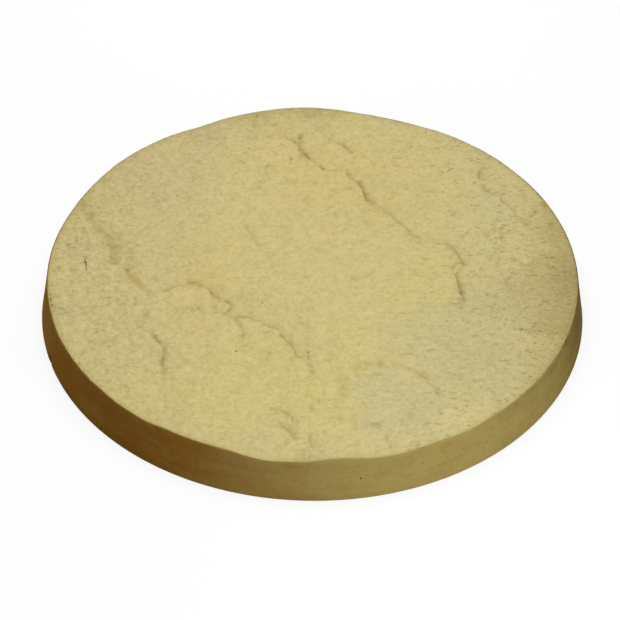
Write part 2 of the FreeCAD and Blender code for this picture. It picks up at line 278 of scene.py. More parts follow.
# Ochre stains of the face: x, y, radius, strength
ochreStains = (
    (-0.191, 0.086, 0.0048, 0.5), (-0.1875, 0.078, 0.0055, 0.8), (-0.185, 0.069, 0.0048, 0.7),
    (-0.1825, 0.062, 0.0048, 0.85), (-0.178, 0.0565, 0.0046, 0.95), (-0.171, 0.048, 0.0052, 0.75),
    (-0.1663, 0.0366, 0.0056, 0.85), (-0.1654, 0.0292, 0.005, 0.75), (-0.1663, 0.0219, 0.0054, 0.85),
    (-0.1654, 0.016, 0.0042, 0.95), (-0.1625, 0.051, 0.0048, 0.45), (-0.157, 0.042, 0.005, 0.4),
    (-0.1525, 0.029, 0.004, 0.45), (-0.1515, 0.0215, 0.0036, 0.6), (-0.154, 0.007, 0.005, 0.9),
    (-0.1505, 0, 0.0052, 0.75), (-0.1455, -0.006, 0.005, 0.7), (-0.142, -0.012, 0.0046, 0.5),
    (-0.0993, -0.0085, 0.0042, 0.85), (-0.0925, -0.013, 0.0042, 0.6), (-0.08, -0.006, 0.0075, 0.22),
    (0.0075, 0.14, 0.0026, 0.6), (-0.008, 0.157, 0.0042, 0.5), (0.047, 0.096, 0.005, 0.45),
    (0.054, 0.086, 0.0042, 0.45), (0.061, 0.082, 0.0036, 0.45), (0.07, 0.071, 0.0036, 0.4),
    (0.0316, 0.1612, 0.0024, 0.6), (0.08, 0.055, 0.0036, 0.55), (0.085, 0.051, 0.003, 0.5),
    (0.1236, 0.02, 0.0022, 1.2), (0.114, 0.027, 0.003, 0.5), (0.1165, 0.0145, 0.0042, 0.75),
    (0.0382, -0.1054, 0.0052, 0.5), (0.0456, -0.104, 0.005, 0.65), (0.0551, -0.1033, 0.0036, 0.8),
    (0.0678, -0.1044, 0.0042, 0.35), (0.0268, -0.121, 0.0044, 0.42), (0.0266, -0.131, 0.0046, 0.42),
    (0.0264, -0.141, 0.0044, 0.38), (0.0245, -0.169, 0.0062, 0.38), (0.033, -0.17, 0.005, 0.3),
    (0.0905, -0.119, 0.0044, 0.5), (-0.018, -0.083, 0.0048, 0.35), (-0.012, -0.098, 0.0046, 0.35),
)

# Broad washes of colour on the face: x, y, radius, strength
washes = {
    "greyWash": (
        (0.075, -0.16, 0.045, 0.9), (0.05, -0.128, 0.022, 0.5), (0.105, -0.07, 0.045, 0.8),
        (0.15, -0.11, 0.045, 0.8), (0.16, -0.03, 0.04, 0.7), (0.15, 0.05, 0.034, 0.5),
        (0.155, 0.1, 0.03, 0.5), (0.135, 0.16, 0.028, 0.5), (0.015, -0.2, 0.016, 0.2),
        (-0.185, 0.035, 0.022, 0.5), (-0.205, -0.045, 0.02, 0.6), (0.06, 0.205, 0.018, 0.4),
        (-0.04, -0.025, 0.018, 0.3),
    ),
    "tanWash": (
        (-0.135, 0.122, 0.055, 0.8), (-0.175, 0.025, 0.045, 0.4), (-0.17, -0.04, 0.036, 0.3),
        (-0.125, 0.035, 0.04, 0.4), (-0.135, -0.085, 0.045, 0.3), (-0.045, -0.198, 0.018, 0.6),
        (-0.09, 0.185, 0.034, 0.8), (-0.205, 0.06, 0.028, 0.3), (-0.185, -0.1, 0.034, 0.1),
    ),
    "yellowWash": (
        (-0.03, -0.11, 0.05, 0.6), (0.012, -0.15, 0.032, 0.6), (0.035, -0.08, 0.04, 0.3),
        (-0.06, -0.15, 0.05, 0.4), (-0.03, -0.05, 0.04, 0.2), (0.1, 0.04, 0.034, 0.3),
        (0.085, -0.02, 0.034, 0.4), (-0.15, -0.15, 0.034, 0.3), (0.03, -0.18, 0.014, 0.5),
        (-0.045, -0.028, 0.02, 0.3),
    ),
    "goldWash": (
        (0.015, 0.14, 0.045, 0.5), (0.07, 0.13, 0.045, 0.3), (0, 0.095, 0.05, 0.3),
        (0.055, 0.09, 0.03, 0.3), (-0.088, -0.006, 0.022, 0.9), (-0.08, 0.03, 0.045, 0.3),
        (-0.095, -0.06, 0.034, 0.3), (-0.035, 0.17, 0.034, 0.3), (-0.1, -0.14, 0.034, 0.3),
    ),
    # darker washes; at the right end the darkening is partly painted shade, partly rougher stone
    "darkWash": (
        (0.236, 0.005, 0.05, 1), (0.226, -0.06, 0.04, 0.9), (0.212, 0.075, 0.03, 0.6),
        (0.208, -0.11, 0.03, 0.5), (0.192, -0.02, 0.045, 0.3), (0.155, -0.105, 0.05, 0.12),
        (-0.002, 0.222, 0.026, 0.5), (-0.048, 0.214, 0.022, 0.4), (0.004, -0.212, 0.014, 0.2),
        (-0.205, 0.085, 0.016, 0.2), (-0.222, -0.045, 0.018, 0.2), (-0.1, 0.205, 0.02, 0.3),
    ),
}

# Chips broken out of the two edges: azimuth in degrees, height, radius, depth, darkness of the painted
# shade inside the chip
chips = (
    (340.6, 0.0366, 0.0026, 0.0013, 0.8),
    (342.1, 0.0382, 0.0016, 0.0007, 0.6),
    (338.6, 0.0388, 0.0018, 0.0005, 0.3),
    (345.5, 0.039, 0.002, 0.0006, 0.3),
    (351, 0.0385, 0.0018, 0.0005, 0.3),
    (196.6, 0.004, 0.0036, 0.0008, 1.3),
    (197.6, 0.0024, 0.0032, 0.0007, 1.3),
    (207.8, 0.0026, 0.0024, 0.0004, 0.9),
    (221, 0.0042, 0.0026, 0.0004, 0.7),
    (222.5, 0.0052, 0.0024, 0.0004, 0.6),
    (28, 0.002, 0.0034, 0.001, 0.7),
    (96, 0.0376, 0.003, 0.001, 0.4),
    (143, 0.0018, 0.003, 0.0009, 0.6),
)

relief = {
    "ragged": (  # scale and throw of a cleft's wander, and its seeds along X and Y
        (0.011, 0.0012, 1, 11), (0.0040, 0.0009, 2, 12), (0.0018, 0.0005, 3, 13),
    ),
    "crispRun": 0.0012,       # width of a cleft's slope where its line is dark
    "softRun": 0.0042,        # and where it has none
    "crispLine": 0.8,         # strength of the line at which the slope is crispest
    "lineRange": (0.1, 1.6),  # how far a line fades and darkens as it comes and goes
    "breaks": 1.0,            # and how readily
    "wander": 0.35,           # how much a cleft's drop comes and goes
    "lip": 0.28,              # rise of a cleft's high side, as a share of its drop
    "lipReach": 0.0040,
    "lipFall": 0.5,  # share of the slope over which that rise is lost
    "lineAt": 0.6,   # where the line lies on a crisp slope
    "lineDepth": 0.00035,
    "lineWidth": 0.0011,
    "shadeWidth": 0.0022,
    "haloWidth": 0.0036,               # faint shade along a cleft's foot
    "lineShares": (0.45, 0.55, 0.26),  # what the cut, its shade and its halo add to the dark line
    "lipLine": (0.0012, 0.0011),       # pale line on the high side, painted highlight and wear: its distance and half width
    "fullDrop": 0.0015,                # drop at which a scar and a lip show fully
    "spotDepth": 0.00035,
    "spotReach": 3,                         # half sizes past which a spot leaves no mark
    "edgeCalm": (0.8, 0.90, 0.07),          # share of the relief lost at the rim, its start and width
    "grainCalm": (0.48, 0.95, 0.04),        # the same for the grain
    "middleRoughness": 0.75,                # of the calm middle of the face
    "fullRoughness": 1.7,                   # at which the grain has its whole throw
    "plates": 0.00060,                      # throw of the shallow swells between the clefts
    "knap": 0.00056,                        # and of the small facets
    "terraces": (5.0, 0.00030, 0.16),       # steps in the noise's range, their height and softness
    "streaks": (0.01, 0.00055, 1.5, 0.85),  # length along a radius, throw, power of the ruggedness, turn
    "roughEnds": (                          # direction, start and width of the change, share
        ((1, 0), 0.10, 0.11, 0.75), ((-1, 0), 0.10, 0.10, 0.85), ((0, 1), 0.10, 0.09, 0.35),
    ),
    "roughRing": (0.10, 0.06, 0.04),  # start and width of the change away from the middle, share
    "washEdge": (0.012, 0.4),         # throw of a wash's uneven edge, and its softness
}

fields = {  # noises that shape the stone: scale, seed, octaves
    "arris": (0.018, 3, 2),
    "rimWave": (0.035, 4, 2),
    "breaks": (0.0060, 5, 2),
    "plates": (0.026, 6, 2),
    "knap": (0.0085, 7, 3),
    "terraces": (0.030, 8, 4),
    "streaks": (0.0024, 9, 2),
    "chips": (0.0016, 12, 2),
    "washX": (0.016, 21, 3),
    "washY": (0.016, 22, 3),
}
fractal = {"kind": "PERLIN_ORIGINAL", "dimension": 1.0, "lacunarity": 2.0, "seedApart": 7.3}

specks = {  # small pits without a place of their own
    "count": 260,
    "seed": 11,
    "halfSize": (0.0007, 0.0016),
    "stretch": 1.3,
    "strength": (0.2, 0.7),
    "within": 0.97,    # share of the radius
    "inMiddle": 0.30,  # how many of them stay in the middle, where the face is calm
    "crowding": 1.4,
}

scratches = {  # short faint clefts that run much as the long ones do
    "count": 90,
    "seed": 29,
    "within": 0.94,
    "heading": (-40, 38),  # degrees, mean and spread
    "bend": 0.45,          # radians at each stride
    "stride": (0.0018, 0.0048),
    "shares": (0.8, 1.0, 0.6, 0.0),  # of the drop, at each stride
    "line": (0.20, 0.50),
    "drop": (0.0002, 0.0004),
    "reach": (0.004, 0.012),
}


def smoothStep(share):
    share = np.clip(share, 0, 1)
    return share * share * (3 - 2 * share)


def noiseField(x, y, scale, seed, octaves):
    away, kind = seed * fractal["seedApart"], fractal["kind"]
    dimension, lacunarity = fractal["dimension"], fractal["lacunarity"]
    return np.array([
        noise.fractal((px, py, away), dimension, lacunarity, octaves, noise_basis=kind)
        for px, py in zip((x / scale).tolist(), (y / scale).tolist())
    ])


# Distance to the route, positive on its left, and both strengths at the nearest point
def alongRoute(x, y, route):
    distance = np.full(x.shape, np.inf)
    step, line = np.zeros(x.shape), np.zeros(x.shape)
    for (x0, y0, step0, line0), (x1, y1, step1, line1) in zip(route, route[1:]):
        length = math.hypot(x1 - x0, y1 - y0)
        ax, ay = (x1 - x0) / length, (y1 - y0) / length
        run = np.clip((x - x0) * ax + (y - y0) * ay, 0, length)
        dx, dy = x - x0 - run * ax, y - y0 - run * ay
        away = np.hypot(dx, dy)
        closer = away < np.abs(distance)
        distance = np.where(closer, np.copysign(away, ax * dy - ay * dx), distance)
        step = np.where(closer, step0 + (step1 - step0) * run / length, step)
        line = np.where(closer, line0 + (line1 - line0) * run / length, line)
    return distance, step, line


def sprinkleSpecks():
    draw = np.random.default_rng(specks["seed"])
    faceRadius, sprinkled = stone["faceRadius"], []
    while len(sprinkled) < specks["count"]:
        x, y = draw.uniform(-faceRadius, faceRadius, 2)
        crowd = min(1, (abs(x) / faceRadius) ** 2 * specks["crowding"])
        wanted = specks["inMiddle"] + (1 - specks["inMiddle"]) * crowd
        if math.hypot(x, y) < specks["within"] * faceRadius and draw.uniform(0, 1) < wanted:
            along, across = draw.uniform(*specks["halfSize"], 2)
            sprinkled.append((x, y, specks["stretch"] * along, across, draw.uniform(*specks["strength"])))
    return sprinkled


def sprinkleScratches():
    draw = np.random.default_rng(scratches["seed"])
    sprinkled = {}
    for number in range(scratches["count"]):
        away = scratches["within"] * stone["faceRadius"] * math.sqrt(draw.uniform(0, 1))
        around = draw.uniform(0, math.tau)
        x, y = away * math.cos(around), away * math.sin(around)
        heading = math.radians(draw.normal(*scratches["heading"]))
        strength = draw.uniform(*scratches["line"])
        route = [(x, y, 0.0, 0.0)]
        for share in scratches["shares"]:
            stride = draw.uniform(*scratches["stride"])
            x, y = x + stride * math.cos(heading), y + stride * math.sin(heading)
            heading += draw.normal(0, scratches["bend"])
            route.append((x, y, share, share * strength))
        drop, reach = draw.uniform(*scratches["drop"]), draw.uniform(*scratches["reach"])
        sprinkled[f"scratch{number}"] = (drop, reach, route)
    return sprinkled


allSpots = darkSpots + tuple(sprinkleSpecks())
allClefts = {**clefts, **sprinkleScratches()}


# Height that the clefts give, and how far into a line, in a scar or on a lip each place lies
def cleftShape(x, y):
    height, groove, scar, lip = (np.zeros(x.shape) for _ in range(4))
    wanderX, wanderY = x.copy(), y.copy()
    for scale, throw, seedX, seedY in relief["ragged"]:
        wanderX += throw * noiseField(x, y, scale, seedX, 2)
        wanderY += throw * noiseField(x, y, scale, seedY, 2)
    breaks = noiseField(x, y, *fields["breaks"])
    cutShare, shadeShare, haloShare = relief["lineShares"]
    lipAway, lipHalf = relief["lipLine"]
    crisp, soft = relief["crispRun"], relief["softRun"]
    centre = relief["lineAt"] * crisp
    for drop, reach, route in allClefts.values():
        routeX, routeY = np.array(route)[:, 0], np.array(route)[:, 1]
        near = (wanderX > routeX.min() - reach) & (wanderX < routeX.max() + reach)
        near &= (wanderY > routeY.min() - reach) & (wanderY < routeY.max() + reach)
        distance, step, line = alongRoute(wanderX[near], wanderY[near], route)
        step = step * (1 + relief["wander"] * breaks[near])
        line = line * np.clip(1 + relief["breaks"] * breaks[near], *relief["lineRange"])
        run = soft + (crisp - soft) * np.clip(line / relief["crispLine"], 0, 1)
        lowSide = distance > 0
        fade = np.where(lowSide, np.clip(1 - distance / reach, 0, 1) ** 2, 0)
        fall = smoothStep(distance / (relief["lipFall"] * run))
        rise = np.where(lowSide, 1 - fall, np.exp(distance / relief["lipReach"]))
        cut = np.exp(-((distance - centre) / relief["lineWidth"]) ** 2)
        shade = np.exp(-((distance - centre) / relief["shadeWidth"]) ** 2)
        halo = np.exp(-((distance - 2 * centre) / relief["haloWidth"]) ** 2)
        # pale line on the high side: painted highlight and wear
        edge = np.exp(-((distance + lipAway) / lipHalf) ** 2)
        height[near] += relief["lip"] * drop * step * rise * (np.abs(distance) < reach)
        height[near] -= drop * step * smoothStep(distance / run) * fade + relief["lineDepth"] * line * cut
        shown = step * drop / relief["fullDrop"]
        # dark line along the cleft: painted shade and dirt
        dark = line * (cutShare * cut + shadeShare * shade) + haloShare * (shown + line) * halo
        groove[near] = np.maximum(groove[near], dark)
        scar[near] = np.maximum(scar[near], shown * fade * smoothStep(distance / run))
        lip[near] = np.maximum(lip[near], shown * edge)
    return height, groove, scar, lip


def spotShape(x, y, spots):
    shade, spotReach = np.zeros(x.shape), relief["spotReach"]
    for spotX, spotY, halfX, halfY, strength in spots:
        near = (np.abs(x - spotX) < spotReach * halfX) & (np.abs(y - spotY) < spotReach * halfY)
        away = ((x[near] - spotX) / halfX) ** 2 + ((y[near] - spotY) / halfY) ** 2
        shade[near] = np.maximum(shade[near], strength * np.exp(-away))
    return shade


def washShapes(x, y):  # soft patches with an uneven edge
    throw, softness = relief["washEdge"]
    wanderX = x + throw * noiseField(x, y, *fields["washX"])
    wanderY = y + throw * noiseField(x, y, *fields["washY"])
    shades = {}
    for name, patches in washes.items():
        shades[name] = np.zeros(x.shape)
        for patchX, patchY, radius, strength in patches:
            away = ((wanderX - patchX) ** 2 + (wanderY - patchY) ** 2) / radius ** 2
            patch = strength * np.exp(-away * (softness + (1 - softness) * away))
            shades[name] = 1 - (1 - shades[name]) * (1 - patch)
    return shades


def ruggedness(x, y):  # how rough the face is: most at its two ends
    start, width, share = relief["roughRing"]
    rough = share * smoothStep((np.hypot(x, y) - start) / width)
    for (dx, dy), start, width, share in relief["roughEnds"]:
        rough += share * smoothStep((dx * x + dy * y - start) / width)
    return rough


def calmEdge(x, y, share, start, width):  # 1 on the face, less along the rim
    return 1 - share * smoothStep((np.hypot(x, y) / stone["faceRadius"] - start) / width)


def faceHeightAt(x, y):
    height = cleftShape(x, y)[0]
    for swellX, swellY, reach, rise in swells:
        height += rise * np.exp(-((x - swellX) ** 2 + (y - swellY) ** 2) / reach ** 2)
    height -= relief["spotDepth"] * spotShape(x, y, allSpots)
    rugged, calm = ruggedness(x, y), calmEdge(x, y, *relief["edgeCalm"])
    height += relief["plates"] * noiseField(x, y, *fields["plates"])
    knapped = relief["knap"] * noiseField(x, y, *fields["knap"])
    height += knapped * (relief["middleRoughness"] + rugged) * calm
    steps, rise, softness = relief["terraces"]
    level = noiseField(x, y, *fields["terraces"]) * steps
    height += rise * (np.floor(level) + smoothStep((level - np.floor(level)) / softness)) * calm
    length, throw, dying, turn = relief["streaks"]
    along = np.hypot(x, y) * fields["streaks"][0] / length
    across = stone["faceRadius"] * turn * np.arctan2(y, x)
    height += throw * rugged ** dying * noiseField(along, across, *fields["streaks"]) * calm
    return stone["faceHeight"] + height


def selectOnly(obj):
    bpy.ops.object.select_all(action="DESELECT")
    obj.select_set(True)
    bpy.context.view_layer.objects.active = obj


def applyModifier(obj, kind, name, **settings):
    modifier = obj.modifiers.new(name, kind)
    for key, value in settings.items():
        setattr(modifier, key, value)
    selectOnly(obj)
    bpy.ops.object.modifier_apply(modifier=name)


def readPlaces(mesh):
    places = np.zeros(len(mesh.vertices) * 3)
    mesh.vertices.foreach_get("co", places)
    return places.reshape(-1, 3).T.copy()


def writePlaces(mesh, x, y, z):
    mesh.vertices.foreach_set("co", np.stack((x, y, z), 1).ravel())
    mesh.update()


def cutFan():  # a six-sided fan of triangles, cut into a regular net, with rows of quads below its edge
    bpy.ops.object.select_all(action="DESELECT")
    bpy.ops.mesh.primitive_circle_add(
        vertices=stone["fanSides"], radius=stone["faceRadius"], fill_type="TRIFAN",
        location=(0, 0, stone["faceHeight"]), rotation=(0, 0, math.pi / stone["fanSides"]),
    )
    net = bpy.context.object
    net.name = net.data.name = "riven_stone"
    bpy.ops.object.transform_apply(location=True, rotation=True, scale=True)
    bpy.ops.object.mode_set(mode="EDIT")
    bpy.ops.mesh.select_mode(type="EDGE")
    for cuts in stone["fanCuts"]:
        bpy.ops.mesh.select_all(action="SELECT")
        bpy.ops.mesh.subdivide(number_cuts=cuts)
    bpy.ops.mesh.select_all(action="DESELECT")
    bpy.ops.mesh.select_non_manifold(
        extend=False, use_wire=False, use_multi_face=False, use_non_contiguous=False, use_verts=False
    )
    rows = stone["sideRows"] + len(stone["baseRings"])
    skirt = stone["faceHeight"] / stone["sideRows"] * rows
    bpy.ops.mesh.extrude_edges_move(TRANSFORM_OT_translate={"value": (0, 0, -skirt)})
    bpy.ops.object.mode_set(mode="OBJECT")
    z = readPlaces(net.data)[2]
    ends = np.zeros(len(net.data.edges) * 2, dtype=np.int32)
    net.data.edges.foreach_get("vertices", ends)
    upright = np.abs(np.diff(z[ends.reshape(-1, 2)], axis=1)).ravel() > 0.5 * skirt
    net.data.edges.foreach_set("select", upright)
    bpy.ops.object.mode_set(mode="EDIT")
    bpy.ops.mesh.subdivide(number_cuts=rows - 1)
    bpy.ops.mesh.select_mode(type="VERT")
    bpy.ops.mesh.select_all(action="DESELECT")
    bpy.ops.object.mode_set(mode="OBJECT")
    z = readPlaces(net.data)[2]
    lastRow = z < stone["faceHeight"] - skirt * (1 - 0.5 / rows)
    net.data.vertices.foreach_set("select", lastRow)
    bpy.ops.object.mode_set(mode="EDIT")
    bpy.ops.mesh.merge(type="CENTER")
    bpy.ops.mesh.select_all(action="SELECT")
    bpy.ops.mesh.normals_make_consistent(inside=False)
    bpy.ops.object.mode_set(mode="OBJECT")
    return net


def hexPlace(x, y):  # ring of the net as a share of its last one, and the place round it as an angle
    angle = np.arctan2(y, x) % math.tau
    sixth = math.tau / stone["fanSides"]
    sector = np.floor(angle / sixth)
    inSector = angle - sector * sixth
    reach = np.hypot(x, y) / stone["faceRadius"]
    second = reach * np.sin(inSector) / math.sin(sixth)
    first = reach * np.cos(inSector) - second * math.cos(sixth)
    ring = first + second
    share = np.divide(second, ring, out=np.zeros_like(ring), where=ring > 1e-9)
    return ring, (sector + share) * sixth


# The net takes the stone's section: riven face, rounded arris, drafted rim, rounded foot, base
def shapeStone(net):
    x, y, z = readPlaces(net.data)
    row = np.rint((stone["faceHeight"] - z) / (stone["faceHeight"] / stone["sideRows"])).astype(int)
    ring, angle = hexPlace(x, y)
    columns = stone["fanSides"] * stone["rings"]
    column = np.rint(angle / math.tau * columns).astype(int) % columns

    draft, foot = stone["draft"], stone["footRound"]
    around = np.arange(columns) / columns * math.tau
    cosines, sines = np.cos(around), np.sin(around)
    wander = noiseField(stone["faceRadius"] * cosines, stone["faceRadius"] * sines, *fields["arris"])
    arris = stone["arrisRound"] + stone["arrisWander"] * wander
    top = faceHeightAt(stone["faceRadius"] * cosines, stone["faceRadius"] * sines)
    edge = stone["baseRadius"] - ((top - arris) * math.sin(draft) + arris) / math.cos(draft)
    top = faceHeightAt(edge * cosines, edge * sines)

    onFace = row == 0
    outer, crowd = stone["outerShare"], stone["outerCrowd"]
    share = np.where(ring < outer, ring / outer * (1 - (1 - outer) * crowd), 1 - (1 - ring) * crowd)
    radius = share * edge[column]
    x[onFace] = (radius * np.cos(angle))[onFace]
    y[onFace] = (radius * np.sin(angle))[onFace]
    z[onFace] = faceHeightAt(x[onFace], y[onFace])

    footCentre = stone["baseRadius"] - foot * (1 + math.sin(draft)) / math.cos(draft)
    first = stone["arrisRows"]
    last = first + stone["rimRows"]
    for level in range(1, row.max() + 1):
        here = row == level
        side = column[here]
        if level <= first:
            turn = math.pi / 2 + (draft - math.pi / 2) * level / first
            reach = edge[side] + arris[side] * math.cos(turn)
            rise = top[side] - arris[side] * (1 - math.sin(turn))
        elif level <= last:
            down = (level - first) / stone["rimRows"]
            upperReach = edge[side] + arris[side] * math.cos(draft)
            upperRise = top[side] - arris[side] * (1 - math.sin(draft))
            reach = upperReach + (footCentre + foot * math.cos(draft) - upperReach) * down
            rise = upperRise + (foot + foot * math.sin(draft) - upperRise) * down
            bend = noiseField(reach * cosines[side], reach * sines[side] + rise, *fields["rimWave"])
            reach = reach - stone["rimWave"] * (0.5 + 0.5 * bend) * math.sin(math.pi * down)
        elif level <= stone["sideRows"]:
            turn = draft - (draft + math.pi / 2) * (level - last) / stone["footRows"]
            reach = np.full(side.shape, footCentre + foot * math.cos(turn))
            rise = np.full(side.shape, foot + foot * math.sin(turn))
        else:
            reach = np.full(side.shape, footCentre * stone["baseRings"][level - stone["sideRows"] - 1])
            rise = np.zeros(side.shape)
        x[here], y[here], z[here] = reach * cosines[side], reach * sines[side], rise
    writePlaces(net.data, x, y, z)
    return row


grain = (  # kind of noise, its size and its throw on the roughest part of the face
    ("CLOUDS", 0.0056, 0.00140),
    ("CLOUDS", 0.0030, 0.00110),
    ("STUCCI", 0.0042, 0.00080),
)


def roughenFace(net, row):
    x, y, z = readPlaces(net.data)
    rough = np.clip((relief["middleRoughness"] + ruggedness(x, y)) / relief["fullRoughness"], 0, 1)
    onTop = np.clip(1 - row / stone["arrisRows"], 0, 1)
    weights = np.round(rough * calmEdge(x, y, *relief["grainCalm"]) * onTop, 2)
    group = net.vertex_groups.new(name="rivenFace")
    for weight in np.unique(weights[weights > 0]):
        group.add(np.flatnonzero(weights == weight).tolist(), float(weight), "REPLACE")
    for number, (kind, size, throw) in enumerate(grain):
        texture = bpy.data.textures.new(f"grain{number}", kind)
        texture.noise_scale = size
        applyModifier(
            net, "DISPLACE", "grain", texture=texture, direction="Z", mid_level=0.5, strength=throw,
            texture_coords="LOCAL", vertex_group="rivenFace",
        )


chipping = {
    "unevenness": 0.5,   # how much a chip's depth comes and goes
    "lift": 0.5,         # how far a chip slopes up from the foot or down from the arris, as a share
    "footTo": 0.01,      # height up to which a chip belongs to the foot
    "shadeShare": 0.75,  # radius of a chip's shade, as a share of the chip's
}

paint = {
    "edgeShades": ((0.010, 0.13), (0.0019, 0.40)),  # darkening of the face along the arris: reach and strength
    "rimTo": 0.03,  # height below which all is rim
    "baseTo": 0.0004,  # height up to which all is underside
    "mouldReach": (0.2, 0.5),  # where the moulded rim ends and over what width, in roundings of the arris
    "wornAndLitLine": (0.8, 0.5),  # where the rubbed line runs, painted highlight and wear, and its half width, in the same
    "most": 1.5,  # that a mask holds
    "faceMasks": ("groove", "scar", "lip", "spots", "stain", "rugged", "edgeShade"),
}


def onRim(azimuth, height):  # place on the rim
    az, reach = math.radians(azimuth), stone["baseRadius"] - height * math.tan(stone["draft"])
    return reach * math.cos(az), reach * math.sin(az), height


def breakChips(net):  # each chip pushes the surface towards the middle of the stone
    x, y, z = readPlaces(net.data)
    for azimuth, height, radius, depth, _ in chips:
        chipX, chipY, chipZ = onRim(azimuth, height)
        away = np.sqrt((x - chipX) ** 2 + (y - chipY) ** 2 + (z - chipZ) ** 2)
        near = away < radius
        uneven = 1 + chipping["unevenness"] * noiseField(x[near] + z[near], y[near], *fields["chips"])
        push = depth * (1 - (away[near] / radius) ** 2) * uneven
        lift = chipping["lift"] if height < chipping["footTo"] else -chipping["lift"]
        x[near] -= push * math.cos(math.radians(azimuth))
        y[near] -= push * math.sin(math.radians(azimuth))
        z[near] += push * lift * (z[near] > paint["baseTo"])
    writePlaces(net.data, x, y, np.clip(z, 0, stoneTop))


def thinNet(net):
    triangles = sum(len(face.vertices) - 2 for face in net.data.polygons)
    applyModifier(net, "DECIMATE", "thin", decimate_type="COLLAPSE", ratio=stone["triangles"] / triangles)


def paintMasks(net):  # what the finish needs to know about each place, as attributes
    x, y, z = readPlaces(net.data)
    writePlaces(net.data, x, y, np.clip(z, 0, stoneTop))
    _, groove, scar, lip = cleftShape(x, y)
    inset = stone["baseRadius"] - z * math.tan(stone["draft"]) - np.hypot(x, y)
    inward = inset / stone["arrisRound"]
    low = z < paint["rimTo"]
    start, width = paint["mouldReach"]
    mould = np.where(low, 1, 1 - smoothStep((inward - start) / width))
    # painted highlight and wear along the arris
    middle, half = paint["wornAndLitLine"]
    wornAndLit = np.where(low, 0, np.exp(-((inward - middle) / half) ** 2))
    behind = np.clip(inset, 0, None)
    shade = sum(strength * np.exp(-behind / reach) for reach, strength in paint["edgeShades"])
    stain = np.zeros(x.shape)
    for stainX, stainY, radius, strength in ochreStains:
        stain = np.maximum(stain, strength * np.exp(-((x - stainX) ** 2 + (y - stainY) ** 2) / radius ** 2))
    # painted shade inside each chip
    paintedChipShade = np.zeros(x.shape)
    for azimuth, height, radius, _, darkness in chips:
        chipX, chipY, chipZ = onRim(azimuth, height)
        away = (x - chipX) ** 2 + (y - chipY) ** 2 + (z - chipZ) ** 2
        paintedChipShade = np.maximum(paintedChipShade, darkness * np.exp(-away / (chipping["shadeShare"] * radius) ** 2))
    masks = {
        "groove": groove, "scar": scar, "lip": lip, "spots": spotShape(x, y, allSpots), "stain": stain,
        "mould": mould, "wornAndLit": wornAndLit, "edgeShade": shade, "paintedChipShade": paintedChipShade, "rugged": ruggedness(x, y),
        "under": (z < paint["baseTo"]).astype(float), **washShapes(x, y),
    }
    for name, values in masks.items():
        if name in paint["faceMasks"]:
            values = np.where(low, 0, values)
        attribute = net.data.attributes.new(name, "FLOAT", "POINT")
        attribute.data.foreach_set("value", np.clip(values, 0, paint["most"]).astype(np.float32))


class Wire:  # a socket, with the maths that can be written on it
    def __init__(self, tree, socket=None):
        self.tree, self.socket = tree, socket

    def node(self, kind, settings, inputs, output=0):
        made = self.tree.nodes.new(kind)
        for key, value in settings.items():
            setattr(made, key, value)
        for key, value in inputs.items():
            if isinstance(value, Wire):
                self.tree.links.new(value.socket, made.inputs[key])
            else:
                made.inputs[key].default_value = value
        return Wire(self.tree, made.outputs[output] if made.outputs else None)

    def maths(self, operation, *values):
        return self.node("ShaderNodeMath", {"operation": operation}, dict(enumerate(values)))

    def __add__(self, other):
        return self.maths("ADD", self, other)

    def __radd__(self, other):
        return self.maths("ADD", other, self)

    def __sub__(self, other):
        return self.maths("SUBTRACT", self, other)

    def __rsub__(self, other):
        return self.maths("SUBTRACT", other, self)

    def __mul__(self, other):
        return self.maths("MULTIPLY", self, other)

    def __rmul__(self, other):
        return self.maths("MULTIPLY", other, self)

    def clipped(self):
        return self.node("ShaderNodeClamp", {}, {"Value": self})

    def rise(self, low, high):  # 0 below low, 1 above high, smooth between
        return self.node(
            "ShaderNodeMapRange", {"interpolation_type": "SMOOTHSTEP"},
            {"Value": self, "From Min": low, "From Max": high},
        )

    def noise(self, size, detail, roughness, squash, shift):  # size in metres
        move = {"Vector": self, "Location": (shift, shift, shift), "Scale": squash}
        moved = self.node("ShaderNodeMapping", {}, move)
        settings = {"Vector": moved, "Scale": 1 / size, "Detail": detail, "Roughness": roughness}
        return moved.node("ShaderNodeTexNoise", {}, settings)

    def vectorMaths(self, operation, other, output):
        return self.node("ShaderNodeVectorMath", {"operation": operation}, {0: self, 1: other}, output)

    def toward(self, x, y, z):  # how far a place lies along a direction
        return self.vectorMaths("DOT_PRODUCT", (x, y, z), "Value")

    def distanceTo(self, x, y, z):
        return self.vectorMaths("DISTANCE", (x, y, z), "Value")

    def spot(self, x, y, halfX, halfY):  # 0 in the middle of an ellipse on the face, 1 on its edge
        shift, scale = (-x / halfX, -y / halfY, 0), (1 / halfX, 1 / halfY, 0)
        squashed = self.node("ShaderNodeMapping", {}, {"Vector": self, "Location": shift, "Scale": scale})
        return squashed.distanceTo(0, 0, 0)

    def over(self, first, second):  # this share of the second colour over the first
        share = self.clipped()
        return share.node("ShaderNodeMix", {"data_type": "RGBA"}, {0: share, 6: first, 7: second}, 2)


def newFinish(name):
    finish = bpy.data.materials.new(name)
    finish.use_nodes = True
    finish.node_tree.nodes.clear()
    return finish, Wire(finish.node_tree)


def fromSrgb(red, green, blue):
    shares = (red / 255, green / 255, blue / 255)
    return (*(c / 12.92 if c <= 0.04045 else ((c + 0.055) / 1.055) ** 2.4 for c in shares), 1.0)


